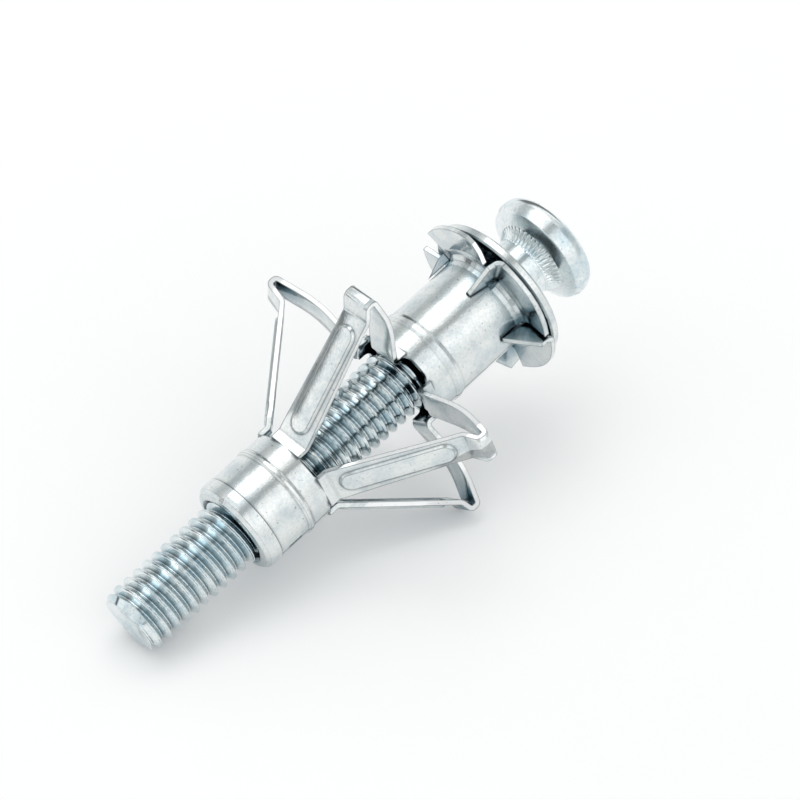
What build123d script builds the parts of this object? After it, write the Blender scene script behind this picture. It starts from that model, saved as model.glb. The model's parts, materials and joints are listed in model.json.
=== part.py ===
"""Hollow wall anchor for a 12 mm hole, set and folded open, lying at rest.

Four pieces, each a node of its own: the screw, the sleeve (ONE folded sheet of steel), the nut that is
pressed into the sleeve's far end, and a loose washer.

All four are drawn about the screw's own axis.  There, +Z runs towards the screw's head, +X is the
direction of the leg that points straight up at rest, and heights along Z are called stations: station 0
is the rear face of the petals, on which the washer bears.  At the end of the script the whole anchor is
laid down as it comes to rest: on the tips of its two lowest legs and the tip of its screw.
"""

import math
import os

from build123d import *

os.makedirs("parts", exist_ok=True)

# ---------------------------------------------------------------- driving dimensions, in millimetres

SHEET = 0.6                     # thickness of the sleeve's steel

LEGS = (                        # (angle, radius of the middle of the sheet at the top of its fold)
    (2, 17.2),
    (75, 17.2),
    (143, 16.5),
    (217, 16.5),
    (288, 17.6),
)

COLLAR_RADIUS = 5.75            # outside of the collar, for a 12 mm hole
COLLAR_CREASE = -15.6           # station where the upper part of a leg leaves the collar
COLLAR_SLOT_END = -13.9         # the slots between the legs run this far into the collar
COLLAR_BEAD = -10.85
COLLAR_BEAD_WIDTH = 1.3
FLARE_START = -1.7              # the collar turns out into the petals from here to station 0

LOWER_RADIUS = 5.55             # outside of the lower sleeve, which grips the nut
LOWER_CREASE = -29.4
LOWER_SLOT_END = -30.7
LOWER_BEAD = -33.5
LOWER_BEAD_WIDTH = 0.9
LOWER_END = -37.95
SEAM_ANGLE = 109                # where the two edges of the rolled sheet meet
SEAM_WIDTH = 0.12
SEAM_NOTCH = (0.5, 1.8)         # (width, height) of the notch in the lower sleeve's seam
SEAM_NOTCH_STATION = -35.9
BEAD_HEIGHT = 0.16

LEG_WIDTH_ROOT = 4.2            # across a leg where it leaves the lower sleeve
LEG_WIDTH = 3.4                 # across a leg from its knee to the collar
LEG_KNEE = (15.1, -17.6)        # (radius, station) where a leg turns outwards into its fold
FOLD_STATIONS = (-17.15, -16.15)
LEG_BOW = (12.0, -14.9)         # the upper part of a leg bows towards the head
CREASE_BEND = 0.6
KNEE_BEND = 0.8
FOLD_BEND = 0.48
BOW_BEND = 14.0
PANEL_LENGTH = 13.2             # pressed panel that stiffens the lower part of a leg
PANEL_WIDTH = 2.7
PANEL_HEIGHT = 0.28
PANEL_SLOPE = 45

PETAL_RADIUS = 9.8
PETALS = (                      # (first angle, last angle, claw's radius, rear's station, droop)
    (-58, 16, 6.9, 0.1, 1.5),
    (19, 82, 9.8, 0.0, 0.5),
    (85, 155, 9.8, 0.0, 0.3),
    (163, 223, 9.8, 0.5, 0.3),
    (231, 279, 9.8, 0.2, 0.3),
)
DROOP_SPAN = 32                 # a petal's last edge droops towards the wall over this angle
DROOP_STEPS = 4
CLAW_ROOT = -4.1                # the claw starts this far down the collar
CLAW_TIP = -1.8                 # station of the claw's outer corner
CLAW_BEND = 1.0
CLAW_LEAN = 10                  # the claws lean back over the slits that they were cut from
CLAW_CLEARANCE = 0.2            # slit between a claw and the collar it was cut from
SLIT_WIDTH = 0.5                # slit in the collar beside each claw

NUT_RADIUS = LOWER_RADIUS - SHEET
NUT_BORE = 4.0
NUT_INNER_END = -32.2
NUT_FLANGE_RADIUS = 5.65
NUT_END = -40.0
NUT_ROUND = 1.1
NUT_COUNTERSINK = 0.35

THREAD_RADIUS = 3.95
PITCH = 1.35
THREAD_DEPTH = 0.62
THREAD_RING_STEP = 2 * PITCH
THREAD_RINGS = 14
THREAD_END = -15.6
SHANK_RADIUS = 3.62
TIP = -55.3
TIP_CHAMFER = 0.75
HEAD_UNDERSIDE = 6.6
HEAD_RADIUS = 6.55
HEAD_EDGE = 0.8                 # rounding from the underside up to the widest part
HEAD_RIM = 1.6                  # height of the widest part
HEAD_SHOULDER = 1.5             # rounding from there to the crown
HEAD_TOP = 11.1
NECK_FLARE = 0.5
SLOT_WIDTH = 1.7
SLOT_DEPTH = 1.3
CROSS_WING = 1.5
CROSS_SPAN = 6.6
CROSS_DEPTH = 3.0
CROSS_TAPER = 12

WASHER_HOLE = 4.6
WASHER_RADIUS = 8.9
WASHER_THICKNESS = 1.1
WASHER_CHAMFER = 0.2
WASHER_SEAT = 0.53              # the washer rests on the petal that stands out furthest


# ---------------------------------------------------------------- helpers

def turned(profile):
    """A body of revolution about the screw's axis, from a closed outline of (radius, station)."""
    return revolve(Plane.XZ * make_face(profile), Axis.Z)


def around(shape, angle):
    return Rot(0, 0, angle) * shape


def bend(centre, radius, first, last, steps=3):
    """Points along an arc between two angles, few enough to keep the faces of a turned body few."""
    angles = [math.radians(first + (last - first) * step / steps) for step in range(steps + 1)]
    return [(centre[0] + radius * math.cos(angle), centre[1] + radius * math.sin(angle)) for angle in angles]


def beaded_tube(radius, start, end, bead, bead_width):
    """A length of the rolled sheet with one raised bead, hollow underneath as rolling leaves it."""
    foot, crest = bead_width / 2, bead_width / 5
    outside = [
        (radius, start),
        (radius, bead - foot),
        (radius + BEAD_HEIGHT, bead - crest),
        (radius + BEAD_HEIGHT, bead + crest),
        (radius, bead + foot),
        (radius, end),
    ]
    inside = [(r - SHEET, station) for r, station in reversed(outside)]
    return turned(Polyline(*outside, *inside, close=True))


def slots(radius, leg_width, closed_end, open_end, corner):
    """Cutters for the slots between neighbouring legs, closed and rounded at one end."""
    past_end = open_end + math.copysign(corner, open_end - closed_end)
    length = abs(past_end - closed_end)
    angles = [angle for angle, top in LEGS]
    cutters = []
    for angle, following in zip(angles, angles[1:] + [angles[0] + 360]):
        width = math.radians(following - angle) * radius - leg_width
        outline = Plane.YZ * Pos(0, (closed_end + past_end) / 2) * RectangleRounded(width, length, corner)
        cutters.append(around(extrude(outline, 2 * radius), (angle + following) / 2))
    return cutters


# ---------------------------------------------------------------- sleeve

def strip(points, radii, width):
    """Sheet of one width that follows a folded line of (radius, station) points."""
    path = Plane.XZ * FilletPolyline(*points, radius=radii)
    section = Plane(origin=path @ 0, x_dir=(0, 1, 0), z_dir=path % 0) * Rectangle(width, SHEET)
    return sweep(section, path=path)


def along(start, end, distance):
    """The point that lies this far from start on the way to end."""
    return tuple(a + (b - a) * distance / math.dist(start, end) for a, b in zip(start, end))


def leg(top):
    """One leg: out from the lower sleeve, round a hairpin fold at this radius, back to the collar."""
    lower = LOWER_RADIUS - SHEET / 2
    upper = COLLAR_RADIUS - SHEET / 2
    crease, knee = (lower, LOWER_CREASE), LEG_KNEE
    plate_start = along(crease, knee, 2 * CREASE_BEND)
    plate_end = along(knee, crease, 2 * KNEE_BEND)

    root = strip([(lower, LOWER_SLOT_END), crease, plate_start], [CREASE_BEND], LEG_WIDTH_ROOT)
    fold = strip(
        [
            plate_end,
            knee,
            (top, FOLD_STATIONS[0]),
            (top, FOLD_STATIONS[1]),
            LEG_BOW,
            (upper, COLLAR_CREASE),
            (upper, COLLAR_SLOT_END),
        ],
        [KNEE_BEND, FOLD_BEND, FOLD_BEND, BOW_BEND, CREASE_BEND],
        LEG_WIDTH,
    )

    # The plate between them tapers, and its pressed panel stands proud outside and is hollow inside.
    rise = (plate_end[0] - plate_start[0], 0, plate_end[1] - plate_start[1])
    outward = (-rise[2], 0, rise[0])
    outward = tuple(-value for value in outward) if outward[0] < 0 else outward
    middle = ((plate_start[0] + plate_end[0]) / 2, 0, (plate_start[1] + plate_end[1]) / 2)
    surface = Plane(origin=middle, x_dir=rise, z_dir=outward)
    half = math.dist(plate_start, plate_end) / 2
    outline = Polyline(
        (-half, -LEG_WIDTH_ROOT / 2), (half, -LEG_WIDTH / 2),
        (half, LEG_WIDTH / 2), (-half, LEG_WIDTH_ROOT / 2), close=True,
    )
    plate = extrude(surface * make_face(outline), SHEET / 2, both=True)
    panel = SlotOverall(PANEL_LENGTH, PANEL_WIDTH)
    plate += extrude(surface.offset(SHEET / 2) * panel, PANEL_HEIGHT, taper=PANEL_SLOPE)
    plate -= extrude(surface.offset(-SHEET / 2) * panel, PANEL_HEIGHT, taper=PANEL_SLOPE)
    return root + plate + fold


def flare(rear, droop):
    """The section of a petal: the collar's wall turned out into a flange whose rim may droop."""
    front = rear - SHEET
    rear_bend, front_bend = rear - FLARE_START, front - FLARE_START
    centre = (COLLAR_RADIUS + front_bend, FLARE_START)
    outline = Polyline(
        *bend(centre, rear_bend, 180, 90),
        (PETAL_RADIUS, rear - droop),
        (PETAL_RADIUS, front - droop),
        *bend(centre, front_bend, 90, 180),
        close=True,
    )
    return Plane.XZ * make_face(outline)


def petal(first, last, claw_radius, rear, droop):
    """A sector of the flared end, with a pointed claw bent forward along its first edge."""
    level = last - first - DROOP_SPAN
    sector = revolve(flare(rear, 0), Axis.Z, revolution_arc=level)
    shares = [step / DROOP_STEPS for step in range(DROOP_STEPS + 1)]
    sections = [around(flare(rear, droop * share**2), level + DROOP_SPAN * share) for share in shares]
    sector += loft(sections, ruled=True)

    # The first edge is cut back to leave room for the bend of the claw.
    sector -= Pos(claw_radius / 2, 0, 0) * Box(claw_radius, 2 * CLAW_BEND, 8)

    root = COLLAR_RADIUS + CLAW_CLEARANCE
    bend_start = rear - CLAW_BEND
    blade_outline = Polyline(
        (root, CLAW_ROOT), (claw_radius, CLAW_TIP), (claw_radius, bend_start), (root, bend_start),
        close=True,
    )
    blade = extrude(Plane.XZ * make_face(blade_outline), -SHEET)
    hinge = Pos(0, SHEET / 2, bend_start)
    blade = hinge * Rot(-CLAW_LEAN, 0, 0) * hinge.inverse() * blade
    ring = Circle(CLAW_BEND) - Circle(CLAW_BEND - SHEET)
    corner = Pos(-CLAW_BEND / 2, CLAW_BEND / 2) * Rectangle(CLAW_BEND, CLAW_BEND)
    bend_outline = Pos(CLAW_BEND, bend_start) * (ring & corner)
    bend = extrude(Plane.YZ.offset(root) * bend_outline, claw_radius - root)
    return around(sector + blade + bend, first)


def slit(first):
    """Cutter for the slit that frees a claw from the collar."""
    height = FLARE_START - CLAW_ROOT + CLAW_BEND
    block = Box(COLLAR_RADIUS, SLIT_WIDTH, height)
    return around(Pos(COLLAR_RADIUS, -SLIT_WIDTH / 2, CLAW_ROOT + height / 2) * block, first)


def seam():
    """Cutter for the seam from end to end of the sleeve, with the notch near its lower end."""
    length = FLARE_START - LOWER_END
    gap = Pos(LOWER_RADIUS, 0, LOWER_END + length / 2) * Box(LOWER_RADIUS, SEAM_WIDTH, length)
    width, height = SEAM_NOTCH
    gap += Pos(LOWER_RADIUS, 0, SEAM_NOTCH_STATION) * Box(LOWER_RADIUS, width, height)
    return around(gap, SEAM_ANGLE)


def make_sleeve():
    lower = beaded_tube(LOWER_RADIUS, LOWER_END, LOWER_CREASE, LOWER_BEAD, LOWER_BEAD_WIDTH)
    collar = beaded_tube(COLLAR_RADIUS, COLLAR_CREASE, FLARE_START, COLLAR_BEAD, COLLAR_BEAD_WIDTH)
    for cutter in slots(LOWER_RADIUS, LEG_WIDTH_ROOT, LOWER_SLOT_END, LOWER_CREASE, 0.5):
        lower -= cutter
    for cutter in slots(COLLAR_RADIUS, LEG_WIDTH, COLLAR_SLOT_END, COLLAR_CREASE, 1.0):
        collar -= cutter
    for first, *rest in PETALS:
        collar -= slit(first)
    sleeve = lower + collar - seam()
    for angle, top in LEGS:
        sleeve += around(leg(top), angle)
    for numbers in PETALS:
        sleeve += petal(*numbers)
    return sleeve


# ---------------------------------------------------------------- nut, screw and washer

def make_nut():
    corner = (NUT_FLANGE_RADIUS - NUT_ROUND, NUT_END + NUT_ROUND)
    outline = Polyline(
        *bend(corner, NUT_ROUND, 0, -90),
        (NUT_BORE + NUT_COUNTERSINK, NUT_END),
        (NUT_BORE, NUT_END + NUT_COUNTERSINK),
        (NUT_BORE, NUT_INNER_END),
        (NUT_RADIUS, NUT_INNER_END),
        (NUT_RADIUS, LOWER_END),
        (NUT_FLANGE_RADIUS, LOWER_END),
        close=True,
    )
    return turned(outline)


def thread_groove():
    """One ring with the thread's depth and flanks.  Rings two pitches apart stand for the helix."""
    half = PITCH / 2
    outline = Polyline(
        (THREAD_RADIUS + 0.1, -half), (THREAD_RADIUS, -half), (THREAD_RADIUS - THREAD_DEPTH, 0),
        (THREAD_RADIUS, half), (THREAD_RADIUS + 0.1, half), close=True,
    )
    return turned(outline)


def make_screw():
    edge_end, rim_end = HEAD_UNDERSIDE + HEAD_EDGE, HEAD_UNDERSIDE + HEAD_EDGE + HEAD_RIM
    crown_radius, crown_start = HEAD_RADIUS - HEAD_SHOULDER, rim_end + HEAD_SHOULDER
    crown = [
        (crown_radius * share, HEAD_TOP - (HEAD_TOP - crown_start) * share**2)
        for share in (0.67, 0.33, 0)
    ]
    outline = Polyline(
        (0, TIP),
        (THREAD_RADIUS - TIP_CHAMFER, TIP),
        (THREAD_RADIUS, TIP + TIP_CHAMFER),
        (THREAD_RADIUS, THREAD_END),
        (SHANK_RADIUS, THREAD_END + THREAD_RADIUS - SHANK_RADIUS),
        (SHANK_RADIUS, HEAD_UNDERSIDE - NECK_FLARE),
        (SHANK_RADIUS + NECK_FLARE, HEAD_UNDERSIDE),
        *bend((HEAD_RADIUS - HEAD_EDGE, edge_end), HEAD_EDGE, -90, 0),
        *bend((crown_radius, rim_end), HEAD_SHOULDER, 0, 90),
        *crown,
        close=True,
    )
    screw = turned(outline)
    for index in range(THREAD_RINGS):
        station = TIP + TIP_CHAMFER + (index + 0.5) * THREAD_RING_STEP
        if not NUT_END < station < LOWER_CREASE:    # the stretch inside the nut fills the nut's bore
            screw -= Pos(0, 0, station) * thread_groove()
    slot = Pos(0, 0, HEAD_TOP - SLOT_DEPTH / 2 + 0.5) * Box(3 * HEAD_RADIUS, SLOT_WIDTH, SLOT_DEPTH + 1)
    screw -= slot
    for angle in (0, 90):
        wing = Pos(0, 0, HEAD_TOP) * Rot(0, 0, angle) * Rectangle(CROSS_SPAN, CROSS_WING)
        screw -= extrude(wing, -CROSS_DEPTH, dir=(0, 0, 1), taper=CROSS_TAPER)
    return screw


def make_washer():
    ring = Circle(WASHER_RADIUS) - Circle(WASHER_HOLE)
    washer = Pos(0, 0, WASHER_SEAT) * extrude(ring, WASHER_THICKNESS)
    rims = washer.edges().filter_by(GeomType.CIRCLE).group_by(SortBy.RADIUS)[-1]
    return chamfer(rims, WASHER_CHAMFER)


# ---------------------------------------------------------------- laid down at rest

def rest_tilt():
    """How far the axis leans when the anchor lies on two leg tips and the tip of its screw."""
    angle, top = LEGS[2]
    side = math.radians(180 - angle)
    depth = (top + SHEET / 2) * math.cos(side) + LEG_WIDTH / 2 * math.sin(side)
    station = sum(FOLD_STATIONS) / 2
    return math.degrees(math.atan2(depth - THREAD_RADIUS, station - (TIP + TIP_CHAMFER)))


def laid_down(pieces):
    """Turn the axis from +Z to lie along +X, head high, and stand the lowest point on z = 0."""
    upright = Plane(origin=(0, 0, 0), x_dir=(0, -1, 0), z_dir=(1, 0, 0))
    lying = Plane(origin=(0, 0, 0), x_dir=(0, 0, 1), z_dir=(1, 0, 0))
    tilted = {name: Rot(0, -rest_tilt(), 0) * (lying.location * piece) for name, piece in pieces.items()}
    boxes = [piece.bounding_box() for piece in tilted.values()]
    middle = (min(box.min.X for box in boxes) + max(box.max.X for box in boxes)) / 2
    lowest = min(box.min.Z for box in boxes)
    print("station 0 lies at x", round(-middle, 4), "and z", round(-lowest, 4))
    shift = Pos(-middle, 0, -lowest)
    return {name: shift * piece for name, piece in tilted.items()}


anchor = laid_down({
    "screw": make_screw(),
    "sleeve": make_sleeve(),
    "nut": make_nut(),
    "washer": make_washer(),
})
for name, piece in anchor.items():
    print(name, len(piece.solids()), "solid(s),", round(piece.volume, 1), "mm3")
    export_step(piece, f"parts/{name}.step")
print("axis leans", round(rest_tilt(), 4), "degrees")
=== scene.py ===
# %% [markdown]
# # A hollow wall anchor, folded open
#
# This lesson dresses a small piece of hardware: an anchor for plasterboard walls.  Its solids come from
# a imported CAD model, so every size and place is already right.  What is left is what a solid modeller
# leaves out: the rolled thread, the soft edges of stamped steel, and the blue-white zinc on all of it.

# %% Load the frame
import json
import math

import bmesh
import bpy
from mathutils import Matrix, Vector


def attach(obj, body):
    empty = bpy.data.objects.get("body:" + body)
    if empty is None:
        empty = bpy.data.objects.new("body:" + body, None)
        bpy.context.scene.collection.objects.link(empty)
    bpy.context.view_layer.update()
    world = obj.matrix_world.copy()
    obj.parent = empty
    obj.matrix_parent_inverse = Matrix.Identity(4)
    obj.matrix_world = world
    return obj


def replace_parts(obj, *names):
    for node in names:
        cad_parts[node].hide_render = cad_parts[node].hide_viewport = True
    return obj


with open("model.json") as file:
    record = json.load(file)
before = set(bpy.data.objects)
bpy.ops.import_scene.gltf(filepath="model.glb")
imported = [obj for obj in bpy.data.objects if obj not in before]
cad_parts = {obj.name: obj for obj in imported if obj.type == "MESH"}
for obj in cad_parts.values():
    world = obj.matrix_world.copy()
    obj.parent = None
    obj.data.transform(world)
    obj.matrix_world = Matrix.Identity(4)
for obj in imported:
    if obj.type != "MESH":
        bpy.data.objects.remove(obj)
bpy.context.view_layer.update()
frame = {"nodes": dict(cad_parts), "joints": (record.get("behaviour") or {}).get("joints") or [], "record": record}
print("solids:", ", ".join(sorted(frame["nodes"])))

# %% [markdown]
# ## Coordinates that follow the screw
#
# Everything on the anchor was made by turning or rolling, so its shapes are simple in coordinates that
# run along the screw.  A matrix built from three directions takes those coordinates to the frame: x
# points up through the top leg, z points to the screw's head.  The joint that turns the screw tells us
# both where the axis lies and which way it points.  Lengths below are in millimetres.

# %% The screw's own coordinates
MM = 0.001
JOINT_STATION = 1.0
turn = next(joint for joint in frame["joints"] if joint["name"] == "screw_turn")
headward = Vector(turn["axis"]).normalized()
start = Vector(turn["pos_m"]) - JOINT_STATION * MM * headward
upward = (Vector((0, 0, 1)) - headward.z * headward).normalized()
sideways = headward.cross(upward)
turning = Matrix((upward, sideways, headward)).transposed().to_4x4()
on_axis = Matrix.Translation(start) @ turning @ Matrix.Scale(MM, 4)
print("the axis leans", round(math.degrees(math.asin(headward.z)), 2), "degrees")

# %% [markdown]
# ## Sizes shared with the solids
#
# The screw made here stands for a solid, so its radii and stations below are those of the solid, or
# lie a little inside it.  A station is a distance along the axis, counted from the back of the flared
# collar.

# %% Sizes of the screw
TIP = -55.0
TIP_CHAMFER = 0.75
THREAD_RADIUS = 3.95
THREAD_END = -13.8
SHANK_RADIUS = 3.62
HEAD_UNDERSIDE = 6.6
HEAD_RADIUS = 6.55
HEAD_TOP = 10.95
PITCH = frame["record"]["behaviour"]["couplings"][0]["ratio"] * 2 * math.pi / MM
print("pitch of the thread:", round(PITCH, 3), "mm")

# %% [markdown]
# ## Shader formulas
#
# A finish is a formula over the surface.  Writing it as Python arithmetic keeps it readable: a small
# class holds one socket, and each operator adds the Math node that does the same.  The reflected forms
# let a number come first, as in 1 - mask.  Numbers alone stay in Python, and colours go through Mix.

# %% A socket that can be calculated with
def rgba(colour):
    """A colour of three numbers with an alpha of 1; a socket stays as it is."""
    return (*colour, 1) if isinstance(colour, tuple) else colour


class Socket:
    """One output of a shader node, with arithmetic that adds Math nodes."""

    def __init__(self, tree, output):
        self.tree = tree
        self.output = output

    def node(self, kind, inputs, output=0, stops=None, **settings):
        """Add a node: its settings first, then the values or links of its sockets."""
        made = self.tree.nodes.new("ShaderNode" + kind)
        for name, value in settings.items():
            setattr(made, name, value)
        if stops:
            ramp = made.color_ramp.elements
            while len(ramp) < len(stops):
                ramp.new(0.5)
            for element, (position, colour) in zip(ramp, stops):
                element.position = position
                element.color = rgba(colour)
        for name, value in inputs.items():
            if isinstance(value, Socket):
                self.tree.links.new(value.output, made.inputs[name])
            else:
                made.inputs[name].default_value = value
        return Socket(self.tree, made.outputs[output])

    def math(self, operation, *values):
        return self.node("Math", dict(enumerate(values)), operation=operation)

    def __add__(self, other):
        return self.math("ADD", self, other)

    def __sub__(self, other):
        return self.math("SUBTRACT", self, other)

    def __rsub__(self, other):
        return self.math("SUBTRACT", other, self)

    def __mul__(self, other):
        return self.math("MULTIPLY", self, other)

    def __truediv__(self, other):
        return self.math("DIVIDE", self, other)

    def __rtruediv__(self, other):
        return self.math("DIVIDE", other, self)

    __radd__ = __add__
    __rmul__ = __mul__

    def between(self, low, high):
        """0 below low, 1 above high, and a smooth step between them."""
        inputs = {"Value": self, "From Min": low, "From Max": high}
        return self.node("MapRange", inputs, interpolation_type="SMOOTHSTEP")

    def noise(self, size, detail):
        """Cloudy noise whose blots are about size millimetres across."""
        inputs = {"Vector": self, "Scale": 1 / (size * MM), "Detail": detail}
        return self.node("TexNoise", inputs)

    def vector(self, operation, *values, output="Vector"):
        """Vector Math on this vector and others, given as sockets or as triples."""
        return self.node("VectorMath", dict(enumerate((self, *values))), output, operation=operation)

    def mixed(self, first, second):
        """The colour between two colours that this factor picks; 6 and 7 are Mix's colour sockets."""
        inputs = {"Factor": self, 6: rgba(first), 7: rgba(second)}
        return self.node("Mix", inputs, output=2, data_type="RGBA")


def source(tree, kind, output):
    """A node with nothing linked to it, where a formula starts."""
    return Socket(tree, None).node(kind, {}, output)


# %% [markdown]
# ## Painted shade in sheltered places, corners, creases and beside edges
#
# Zinc plating is a thin metal skin with a faintly blue passivation film.  Shade is painted into its
# colour: faces that nearby steel hides are painted a darker blue, and tight corners dark grey.  Ambient
# Occlusion finds them: a long reach finds the sheltered faces, a short one the corners, and a very
# short one paints a fine dark line of shade in each crease and beside each rolled bead.
#
# A fine dark line of painted shade also runs beside each outer edge.  The Bevel node rounds what the
# light sees of a cut edge, and the angle between that rounded normal and the flat one shows where an
# edge is near.

# %% Painted shade in sheltered places, corners, creases and beside edges
# Painted shade in tight corners, dark grey.
PAINTED_CORNER_SHADE = (0.085, 0.13, 0.15)
# Painted shade on faces that nearby steel hides, a darker blue.
PAINTED_SHELTER_SHADE = (0.22, 0.315, 0.36)
# The zinc's own pits, and the painted shade lines beside edges and in creases.
PIT_AND_PAINTED_LINE_GREY = (0.12, 0.14, 0.155)
NEAR_SAMPLES = 8


# The mask for painted shade: 0 where nearby steel hides a surface.
def open_within_reach(here, reach, low, high):
    """0 where steel within reach, in millimetres, hides the surface, and 1 in the open."""
    inputs = {"Distance": reach * MM}
    occlusion = here.node("AmbientOcclusion", inputs, output="AO", samples=NEAR_SAMPLES)
    return occlusion.between(low, high)


# The mask for the painted shade line beside each edge.
def beside_edges(here, soft_edge):
    """1 on a fine line beside each edge, found by how far the rounded normal leaves the flat one."""
    flat = source(here.tree, "NewGeometry", "Normal")
    turned = 1 - flat.vector("DOT_PRODUCT", soft_edge, output="Value")
    return turned.between(0.004, 0.05) * (1 - turned.between(0.12, 0.25))


# %% [markdown]
# ## What is particular to the legs
#
# The five legs were cut out of the tube, so each still has a little of the tube's curve across its
# width, and it catches the light in a lengthwise streak.  The curve is far too shallow to change the
# outline, so the bump carries it.  Along their narrow sides the shears left a coarser surface, and
# those sides are also painted brighter, a painted highlight.  Both need to know where the legs are.
# Vector Math gives a place's distance outwards and across for each leg, and the collar and the claws
# are left out by their distance along the screw.

# %% Places on the legs
LEG_ANGLES = (2, 75, 143, 217, 288)
LEG_BEGINS = (6.2, 7.8)
COLLAR_BEGINS = (-11.0, -9.0)
FOLD_BEGINS = (14.0, 16.0)
TUBE_CURVE = 5.5


def station_of(place):
    """The distance along the axis, in millimetres, of a place counted from the start."""
    return place.vector("DOT_PRODUCT", tuple(headward / MM), output="Value")


def legs_at(place):
    """For each leg: how surely a place lies on it, how far out, how far across, and its side."""
    before_collar = 1 - station_of(place).between(*COLLAR_BEGINS)
    for angle in LEG_ANGLES:
        turned = Matrix.Rotation(math.radians(angle), 3, headward)
        side = turned @ sideways
        outward = place.vector("DOT_PRODUCT", tuple(turned @ upward / MM), output="Value")
        across = place.vector("DOT_PRODUCT", tuple(side / MM), output="Value")
        yield outward.between(*LEG_BEGINS) * before_collar, outward, across, tuple(side)


def leg_curve(place):
    """How far the edges of a leg lie below its middle, in millimetres, and 0 elsewhere."""
    curve = 0
    for on_leg, outward, across, side in legs_at(place):
        unfolded = on_leg * (1 - outward.between(*FOLD_BEGINS) * 0.5)
        curve = unfolded * across * across + curve
    return curve / (2 * TUBE_CURVE)


def sheared_sides(place):
    """1 on the narrow sides of the legs, which the shears left, and 0 on the rolled faces."""
    flat = source(place.tree, "NewGeometry", "True Normal")
    share = 0
    for on_leg, outward, across, side in legs_at(place):
        facing = flat.vector("DOT_PRODUCT", side, output="Value")
        share = on_leg * facing * facing + share
    return share.between(0.75, 0.92)


# %% [markdown]
# ## Blue-white zinc
#
# The colour of the plating is nearly even, but its gloss isn't: the bath leaves clouds of finer and
# coarser crystals, with a small pit here and there.  So the metal is one shader whose colour and
# roughness drift with soft noise.  Its bump has a fine grain and, under it, the slow dents that
# forming leaves in sheet and wire.  One function builds the finish, and its settings tell the rolled
# sheet, the bright thread, the turned nut and the stamped washer apart.

# %% The plating
# Painted highlight on the narrow sheared sides of the legs.
SHEARED_SIDE_HIGHLIGHT = (0.95, 0.96, 0.96)
GRAIN_SIZE, GRAIN_HEIGHT = 0.18, 0.03
CLOUD_SIZE, SPECK_SIZE, PIT_SIZE, DENT_SIZE = 2.6, 0.35, 0.28, 3.2


def plated(
    name, light, dark, gloss, grain=0.25, dents=0.0, edge=0.12, shelter_shade_reach=(7, 0.87), corner=1.3,
    crease=0.4, legs=False, coarse_head=0.0,
):
    """A zinc finish between two colours, with a pair of roughnesses for its clear and cloudy places."""
    material = bpy.data.materials.new(name)
    material.use_nodes = True
    tree = material.node_tree
    here = source(tree, "TexCoord", "Object")
    place = here.vector("SUBTRACT", tuple(start))

    clouds = here.noise(CLOUD_SIZE, 3.0).between(0.35, 0.68)
    specks = here.noise(SPECK_SIZE, 2.0).between(0.4, 0.62)
    pits = here.noise(PIT_SIZE, 1.0).between(0.7, 0.76)
    film = clouds * 0.7 + specks * 0.3
    roughness = film * (gloss[1] - gloss[0]) + gloss[0]
    height = here.noise(GRAIN_SIZE, 3.0) + dents * here.noise(DENT_SIZE, 1.0)

    # Painted shade: faces that steel within the long reach hides are painted a darker blue.
    reach, clear = shelter_shade_reach
    colour = open_within_reach(here, reach, 0.3, clear).mixed(PAINTED_SHELTER_SHADE, film.mixed(light, dark))
    # Painted shade: tight corners are painted dark grey.
    colour = open_within_reach(here, corner, 0.12, 0.7).mixed(PAINTED_CORNER_SHADE, colour)
    if legs:
        sheared = sheared_sides(place)
        # Painted highlight: the sheared sides of the legs are painted brighter; their added roughness is real.
        colour = sheared.mixed(colour, SHEARED_SIDE_HIGHLIGHT)
        roughness = roughness + sheared * 0.3
        height = height - leg_curve(place) / (GRAIN_HEIGHT * grain)
    if coarse_head:
        on_head = station_of(place).between(HEAD_UNDERSIDE - 0.2, HEAD_UNDERSIDE + 0.2)
        roughness = roughness + on_head * coarse_head

    soft_edge = here.node("Bevel", {"Radius": edge * MM}, output="Normal", samples=NEAR_SAMPLES)
    # Painted shade: a fine dark line beside each edge and in each crease; the pits mixed in with them are the
    # zinc's own.
    beside = beside_edges(here, soft_edge) * 0.8
    pits_and_painted_lines = beside.math("MAXIMUM", beside, pits * 0.55)
    if crease:
        crease_shade = (1 - open_within_reach(here, crease, 0.76, 1.0)) * 0.85
        pits_and_painted_lines = pits_and_painted_lines.math("MAXIMUM", pits_and_painted_lines, crease_shade)
    bump = here.node("Bump", {
        "Strength": grain, "Distance": GRAIN_HEIGHT * MM, "Height": height, "Normal": soft_edge,
    })

    shader = tree.nodes["Principled BSDF"]
    shader.inputs["Metallic"].default_value = 1.0
    for socket, value in (
        ("Base Color", pits_and_painted_lines.mixed(colour, PIT_AND_PAINTED_LINE_GREY)),
        ("Roughness", roughness),
        ("Normal", bump),
    ):
        tree.links.new(value.output, shader.inputs[socket])
    print("finish:", name, "with", len(tree.nodes), "nodes")
    return material


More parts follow.
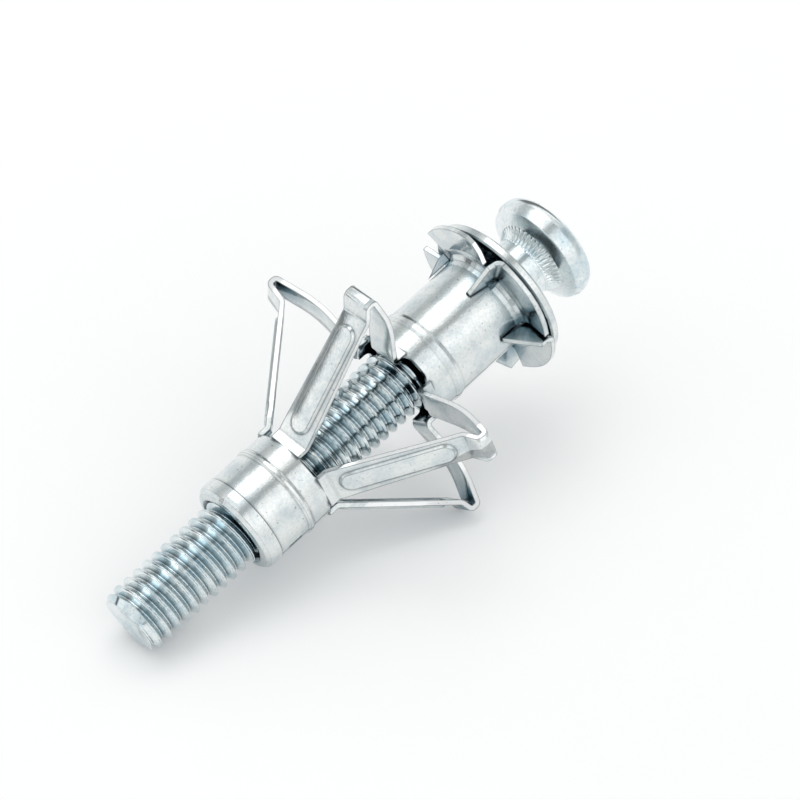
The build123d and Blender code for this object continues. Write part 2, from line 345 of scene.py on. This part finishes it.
# %% Four finishes
LIGHT_ZINC = (0.80, 0.825, 0.81)
DARK_ZINC = (0.59, 0.65, 0.675)
LIGHT_SCREW_ZINC = (0.86, 0.89, 0.885)
DARK_SCREW_ZINC = (0.54, 0.66, 0.71)
sleeve_zinc = plated(
    "rolled sheet zinc", LIGHT_ZINC, DARK_ZINC, (0.13, 0.2),
    grain=0.35, dents=9.0, edge=0.18, legs=True,
)
screw_zinc = plated(
    "screw zinc", LIGHT_SCREW_ZINC, DARK_SCREW_ZINC, (0.06, 0.13),
    grain=0.14, dents=3.0, edge=0.05, shelter_shade_reach=(2.5, 0.62), corner=0.8, crease=0, coarse_head=0.1,
)
nut_zinc = plated("nut zinc", LIGHT_ZINC, DARK_ZINC, (0.14, 0.24), dents=3.0)
washer_zinc = plated(
    "washer zinc", LIGHT_ZINC, DARK_ZINC, (0.14, 0.24), grain=0.2, dents=2.0, shelter_shade_reach=(3, 0.5),
)

# %% [markdown]
# ## The screw's thread
#
# A rolled thread is a ridge that climbs one pitch in each turn.  It could be swept along a helix, but a
# lathe whose radius depends on both the angle and the station is simpler and always closes.  The ridge
# has a narrow crest, straight flanks and a sharp root.  Rolling pushes the steel up from both sides of
# the ridge, and where the two halves meet, a fine seam runs along the crest.  The ridge fades out into
# the plain shank, whose radius lies between root and crest, because rolling only moves the steel.  At
# the tip, a chamfer cuts the ridge off, ragged where the roll left it.

# %% Lathe helper
def lathe(shape, stations, radius, segments):
    """Add rings of vertices at these stations, radius(station, angle) from the axis, and join them."""
    rings = []
    for station in stations:
        angles = [2 * math.pi * step / segments for step in range(segments)]
        ring = []
        for angle in angles:
            distance = radius(station, angle)
            point = (distance * math.cos(angle), distance * math.sin(angle), station)
            ring.append(shape.verts.new(point))
        rings.append(ring)
    for low, high in zip(rings, rings[1:]):
        for step in range(segments):
            following = (step + 1) % segments
            shape.faces.new((low[step], low[following], high[following], high[step]))
    return rings


def smooth_step(low, high, value):
    """0 below low, 1 above high, and a smooth step between them."""
    share = min(max((value - low) / (high - low), 0), 1)
    return share * share * (3 - 2 * share)


# %% Radius of the threaded rod
THREAD_DEPTH = 0.54 * PITCH
CREST_SHARE = 0.2
FLANK_SHARE = 0.72
CREST_ROUNDING = 0.12
SEAM_SHARE = 0.13
SEAM_DEPTH = 0.06
PHASE = 0.19
RUN_OUT = 1.3
RAGGED = 0.35
TIP_SLOPE = 0.8


def rod_radius(station, angle):
    """The ridge and its seam, faded into the shank and cut off by the ragged cone of the tip."""
    phase = (station / PITCH - angle / (2 * math.pi) - PHASE) % 1
    from_crest = abs(2 * phase - 1)
    flank = min(max((from_crest - CREST_SHARE) / FLANK_SHARE, 0), 1)
    rounded = (1 - math.cos(math.pi * flank)) / 2
    depth = flank + CREST_ROUNDING * (rounded - flank)
    seam = SEAM_DEPTH * (1 - smooth_step(0, SEAM_SHARE, from_crest))
    threaded = THREAD_RADIUS - THREAD_DEPTH * depth - seam
    plain = smooth_step(THREAD_END - RUN_OUT, THREAD_END, station)
    ridge = threaded + plain * (SHANK_RADIUS - threaded)
    chamfer = TIP_CHAMFER * (1 + RAGGED * math.sin(2 * angle + 1) + RAGGED / 2 * math.sin(5 * angle))
    cone = THREAD_RADIUS - chamfer + max(station - TIP, 0) * TIP_SLOPE
    return min(ridge, cone)


# %% Build the rod
RINGS_PER_PITCH = 32
ROUND = 72
CUP_RADIUS = 2.6
CUP_SLOPE = 4.2
SHANK_STATIONS = (-10, -5, 0, 3, 5, HEAD_UNDERSIDE + 0.2)
CUP_STATIONS = (TIP, TIP + 0.15, TIP + 0.5, TIP + 0.6)


def cup_radius(station, angle):
    """The shallow cup that shearing the wire leaves in the tip."""
    return CUP_RADIUS - CUP_SLOPE * (station - TIP)


rod = bmesh.new()
threaded = THREAD_END + 0.4 - TIP
count = round(threaded / PITCH * RINGS_PER_PITCH)
stations = [TIP + threaded * step / count for step in range(count + 1)]
rings = lathe(rod, [*stations, *SHANK_STATIONS], rod_radius, ROUND)
cup = lathe(rod, CUP_STATIONS, cup_radius, ROUND)
for step in range(ROUND):
    rod.faces.new((rings[0][step], rings[0][step - 1], cup[0][step - 1], cup[0][step]))
rod.faces.new(cup[-1])
rod.faces.new(rings[-1])
print("rod:", len(rings), "rings,", len(rod.verts), "vertices")

# %% [markdown]
# ## The screw's head
#
# A low head like this is one outline turned around the axis: a flat seat, an underside that rises to a
# thin edge, a round shoulder and a low crown.  The recess takes either driver, so a slot across the
# whole head crosses a tapered cross.  The punch pressed them in one after the other, and cutting with
# a Boolean modifier does the same.

# %% Outline of the head
def arc(centre, radius, first, last, steps):
    """Points on an arc in the plane of radius and station; angles in degrees, 0 pointing outwards."""
    angles = [math.radians(first + (last - first) * step / steps) for step in range(steps + 1)]
    return [(centre[0] + radius * math.cos(a), centre[1] + radius * math.sin(a)) for a in angles]


SEAT_RADIUS = 4.7
EDGE = 0.25
EDGE_INSET = 0.3
EDGE_RISE = 0.85
RIM_START, RIM_END = 8.1, 8.6
SHOULDER = 1.5
CROWN_STEPS = 10
edge_centre = (HEAD_RADIUS - EDGE_INSET - EDGE, HEAD_UNDERSIDE + EDGE_RISE)
shoulder_centre = (HEAD_RADIUS - SHOULDER, RIM_END)
crown_start = RIM_END + SHOULDER
head_outline = [(SEAT_RADIUS - 0.3, HEAD_UNDERSIDE - 0.1), (SEAT_RADIUS, HEAD_UNDERSIDE)]
head_outline += arc(edge_centre, EDGE, -70, 10, 6)
head_outline += [(HEAD_RADIUS, RIM_START)]
head_outline += arc(shoulder_centre, SHOULDER, 0, 88, 12)
for step in range(1, CROWN_STEPS):
    share = step / CROWN_STEPS
    rise = (HEAD_TOP - crown_start) * (1 - (1 - share) ** 2)
    head_outline.append((shoulder_centre[0] * (1 - share), crown_start + rise))
print("outline of the head:", len(head_outline), "points")

# %% [markdown]
# ## The fluted neck
#
# Under the head, the shank swells into a short ribbed neck.  The ribs are a cosine of the angle on top
# of a concave swell, so a lathe with eight segments for each rib draws them all at once.

# %% Build the neck
NECK_START = 5.1
NECK_STEPS = 12
SWELL_POWER = 1.8
FLUTES = 48
FLUTE_HEIGHT = 0.11


def neck_radius(station, angle):
    """A swell that steepens towards the head, with ribs that fade out at both ends."""
    share = (station - NECK_START) / (HEAD_UNDERSIDE - NECK_START)
    swell = (SEAT_RADIUS - SHANK_RADIUS) * share**SWELL_POWER
    ribs = FLUTE_HEIGHT * smooth_step(0, 0.3, share) * smooth_step(0, 0.15, 1 - share)
    return SHANK_RADIUS + swell + ribs * math.cos(FLUTES * angle)


neck = bmesh.new()
neck_length = HEAD_UNDERSIDE - NECK_START
neck_stations = [NECK_START + neck_length * step / NECK_STEPS for step in range(NECK_STEPS + 1)]
neck_rings = lathe(neck, neck_stations, neck_radius, 8 * FLUTES)
neck.faces.new(neck_rings[0][::-1])
neck.faces.new(neck_rings[-1])
print("neck:", len(neck.verts), "vertices")

# %% Helpers that make objects and cut them
def as_object(shape, name, transform=on_axis):
    """Finish a bmesh as an object that lies on the screw's axis."""
    bmesh.ops.recalc_face_normals(shape, faces=shape.faces)
    mesh = bpy.data.meshes.new(name)
    shape.to_mesh(mesh)
    shape.free()
    mesh.transform(transform)
    made = bpy.data.objects.new(name, mesh)
    bpy.context.scene.collection.objects.link(made)
    return made


def cut_with(target, cutter):
    """Cut one object out of another for good, and remove the cutter."""
    modifier = target.modifiers.new("cut", "BOOLEAN")
    modifier.object = cutter
    modifier.solver = "EXACT"
    graph = bpy.context.evaluated_depsgraph_get()
    result = bpy.data.meshes.new_from_object(target.evaluated_get(graph))
    target.modifiers.clear()
    target.data = result
    bpy.data.objects.remove(cutter)


def wedge(half_length, half_width, depth, taper, angle):
    """A slot cutter that stands in the head's top and narrows by taper towards its floor."""
    shape = bmesh.new()
    ends = []
    for station, inset in ((HEAD_TOP + 1, 0), (HEAD_TOP - depth, taper)):
        x, y = half_length - inset, half_width - inset / 3
        corners = ((x, y), (-x, y), (-x, -y), (x, -y))
        ends.append([shape.verts.new((*corner, station)) for corner in corners])
    top, bottom = ends
    shape.faces.new(top)
    shape.faces.new(bottom[::-1])
    for step in range(4):
        shape.faces.new((top[step], top[step - 1], bottom[step - 1], bottom[step]))
    spin = Matrix.Rotation(math.radians(angle), 3, "Z")
    bmesh.ops.rotate(shape, verts=shape.verts, matrix=spin)
    return as_object(shape, "cutter")


# %% Build the head and cut its recess
HEAD_SEGMENTS = 96
SLOT = {"half_length": 2 * HEAD_RADIUS, "half_width": 0.85, "depth": 1.3, "taper": 0}
CROSS_ARM = {"half_length": 3.3, "half_width": 0.75, "depth": 3.0, "taper": 1.4}


def outline_radius(index, angle):
    return head_outline[index][0]


head = bmesh.new()
head_rings = lathe(head, range(len(head_outline)), outline_radius, HEAD_SEGMENTS)
for ring, (radius, station) in zip(head_rings, head_outline):
    for vertex in ring:
        vertex.co.z = station
head.faces.new(head_rings[0][::-1])
head.faces.new(head_rings[-1])
screw_head = as_object(head, "screw_head")
cut_with(screw_head, wedge(**SLOT, angle=0))
for angle in (0, 90):
    cut_with(screw_head, wedge(**CROSS_ARM, angle=angle))
print("head:", len(screw_head.data.vertices), "vertices after cutting")

# %% [markdown]
# ## One screw
#
# The rod, the neck and the head are three closed shells that overlap a little, like clay pressed
# together.  They become one mesh, because they are one piece of steel and turn together.  Shading is
# smooth, except where faces meet at a sharp angle.

# %% Join the screw
SHARP_ANGLE = math.radians(35)
screw = as_object(rod, "machine_screw")
screw_neck = as_object(neck, "screw_neck")
joined = bmesh.new()
for piece in (screw, screw_head, screw_neck):
    joined.from_mesh(piece.data)
joined.to_mesh(screw.data)
joined.free()
bpy.data.objects.remove(screw_head)
bpy.data.objects.remove(screw_neck)
screw.data.shade_smooth()
screw.data.set_sharp_from_angle(angle=SHARP_ANGLE)
screw.data.materials.append(screw_zinc)
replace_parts(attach(screw, "screw"), "screw")
print("screw:", len(screw.data.polygons), "faces")

# %% [markdown]
# ## Sleeve, nut and washer
#
# The sleeve is one sheet of steel, rolled, slit, beaded and folded.  The nut is pressed into its end,
# and the washer hangs loose on the shank.  Their solids already have the true shape, so they stay and
# only take a finish.

# %% Finish the solids
for node, finish in (("sleeve", sleeve_zinc), ("nut", nut_zinc), ("washer", washer_zinc)):
    solid = frame["nodes"][node]
    solid.data.materials.clear()
    solid.data.materials.append(finish)
    print(node, "has", finish.name)

# %% [markdown]
# ## The floor
#
# A diffuse white floor catches the soft shadow.  Lit plainly, it would still be a little grey, so it
# also glows faintly, but only for rays from the camera and for rays that come off metal or through
# glass.  Diffuse light doesn't count the glow, so it adds nothing to the light on the anchor.

# %% Floor
FLOOR_SIZE = 1000
FLOOR_WHITE = (0.86, 0.86, 0.86)
FLOOR_LIFT = 0.14
floor_shape = bmesh.new()
bmesh.ops.create_grid(floor_shape, x_segments=1, y_segments=1, size=FLOOR_SIZE)
floor = as_object(floor_shape, "floor", Matrix.Scale(MM, 4))
floor_paint = bpy.data.materials.new("white floor")
floor_paint.use_nodes = True
floor_tree = floor_paint.node_tree
from_camera = source(floor_tree, "LightPath", "Is Camera Ray")
off_metal = source(floor_tree, "LightPath", "Is Glossy Ray")
through_glass = source(floor_tree, "LightPath", "Is Transmission Ray")
seen = from_camera + off_metal + through_glass
paint = seen.node("BsdfDiffuse", {"Color": rgba(FLOOR_WHITE)})
glow = seen.node("Emission", {"Color": (1, 1, 1, 1), "Strength": FLOOR_LIFT})
lifted = seen.node("AddShader", {0: paint, 1: glow})
shown = seen.node("MixShader", {0: seen, 1: paint, 2: lifted})
floor_tree.links.new(shown.output, floor_tree.nodes["Material Output"].inputs["Surface"])
floor.data.materials.append(floor_paint)
print("floor: white", FLOOR_WHITE[0], "with a glow of", FLOOR_LIFT)

# %% [markdown]
# ## One soft lamp
#
# A single area lamp overhead stands for the soft box of a small studio.  It is large beside the
# anchor, so the shadow has no hard edge.

# %% Lamp
LAMP_DIRECTION = Vector((0.07, 0.3, 0.95)).normalized()
LAMP_DISTANCE = 0.6
LAMP_SIZE = (0.5, 0.3)
LAMP_RADIANCE = 1.0
light = bpy.data.lights.new("ceiling lamp", "AREA")
light.shape = "RECTANGLE"
light.size, light.size_y = LAMP_SIZE
light.energy = LAMP_RADIANCE * math.pi * light.size * light.size_y
lamp = bpy.data.objects.new("ceiling lamp", light)
lamp.location = LAMP_DIRECTION * LAMP_DISTANCE
lamp.rotation_euler = LAMP_DIRECTION.to_track_quat("Z", "Y").to_euler()
bpy.context.scene.collection.objects.link(lamp)
print("lamp:", round(light.energy, 3), "W")

# %% [markdown]
# ## A sky planned for metal
#
# Bright metal shows its surroundings more than itself, so the sky is planned as the picture that the
# metal will show: mostly white walls, with darker bands between them for the streaks that make it read
# as metal.  The walls run along the screw, so one angle around its axis says which of them a direction
# meets.  A tube shows the walls beside it.  The flat legs lean, and show the two ends of the room,
# which have levels of their own.

# %% Sky
# Each stop is an angle around the screw's axis and a level.  The angle runs from one side's horizon,
# at -90, over the top to the other side's horizon, at 90.
WALLS = (
    (-90, 0.75), (-72, 0.65), (-60, 0.45), (-48, 0.45), (-38, 0.7), (-20, 0.9), (4, 0.9),
    (10, 0.42), (21, 0.36), (27, 0.8), (50, 1.0), (68, 0.9), (90, 0.75),
)
END_WALLS = (
    (-90, 0.14), (-66, 0.12), (-57, 0.9), (-25, 0.8), (0, 0.64), (30, 0.64), (42, 0.36),
    (60, 0.6), (90, 0.55),
)
SKY_STRENGTH = 1.3
world = bpy.data.worlds.new("studio")
bpy.context.scene.world = world
world.use_nodes = True
sky_tree = world.node_tree
around = source(sky_tree, "TexCoord", "Generated")
along_axis = around.vector("PROJECT", tuple(headward))
off_axis = around.vector("SUBTRACT", along_axis).vector("NORMALIZE")
across = off_axis.vector("DOT_PRODUCT", tuple(sideways), output="Value")


def bands(levels):
    """A colour ramp around the axis; darker levels are a little bluer."""
    stops = []
    for angle, level in levels:
        position = (1 + math.sin(math.radians(angle))) / 2
        stops.append((position, (level**1.06, level**1.01, level)))
    return across.node("ValToRGB", {"Fac": across * 0.5 + 0.5}, output="Color", stops=stops)


endward = around.vector("DOT_PRODUCT", tuple(headward), output="Value")
at_ends = endward.math("ABSOLUTE", endward).between(0.42, 0.58)
sky = at_ends.mixed(bands(WALLS), bands(END_WALLS))
sky_tree.links.new(sky.output, sky_tree.nodes["Background"].inputs["Color"])
sky_tree.nodes["Background"].inputs["Strength"].default_value = SKY_STRENGTH
print("sky:", len(WALLS), "and", len(END_WALLS), "stops")

# %% [markdown]
# ## The camera
#
# The camera looks down on the anchor from the side of its tip, far enough away for a long lens, so
# the tube's two edges stay nearly parallel.  It is placed by two angles around the point that it aims
# at, and leans a little to one side.

# %% Camera
CAMERA_AIM = Vector((5.61, -1.97, 13.84)) * MM
CAMERA_AZIMUTH = -44.94
CAMERA_ELEVATION = 43.1
CAMERA_ROLL = 1.55
CAMERA_DISTANCE = 0.305
LENS = 126
azimuth, elevation = math.radians(CAMERA_AZIMUTH), math.radians(CAMERA_ELEVATION)
back = Vector((
    math.sin(azimuth) * math.cos(elevation),
    -math.cos(azimuth) * math.cos(elevation),
    math.sin(elevation),
))
camera = bpy.data.objects.new("camera", bpy.data.cameras.new("camera"))
camera.data.lens = LENS
camera.data.clip_start = 0.01
camera.location = CAMERA_AIM + CAMERA_DISTANCE * back
level = back.to_track_quat("Z", "Y").to_matrix()
roll = Matrix.Rotation(math.radians(CAMERA_ROLL), 3, back)
camera.rotation_euler = (roll @ level).to_euler()
bpy.context.scene.collection.objects.link(camera)
bpy.context.scene.camera = camera
bpy.context.scene.view_settings.view_transform = "Standard"
print("camera:", LENS, "mm lens at", CAMERA_DISTANCE, "m")
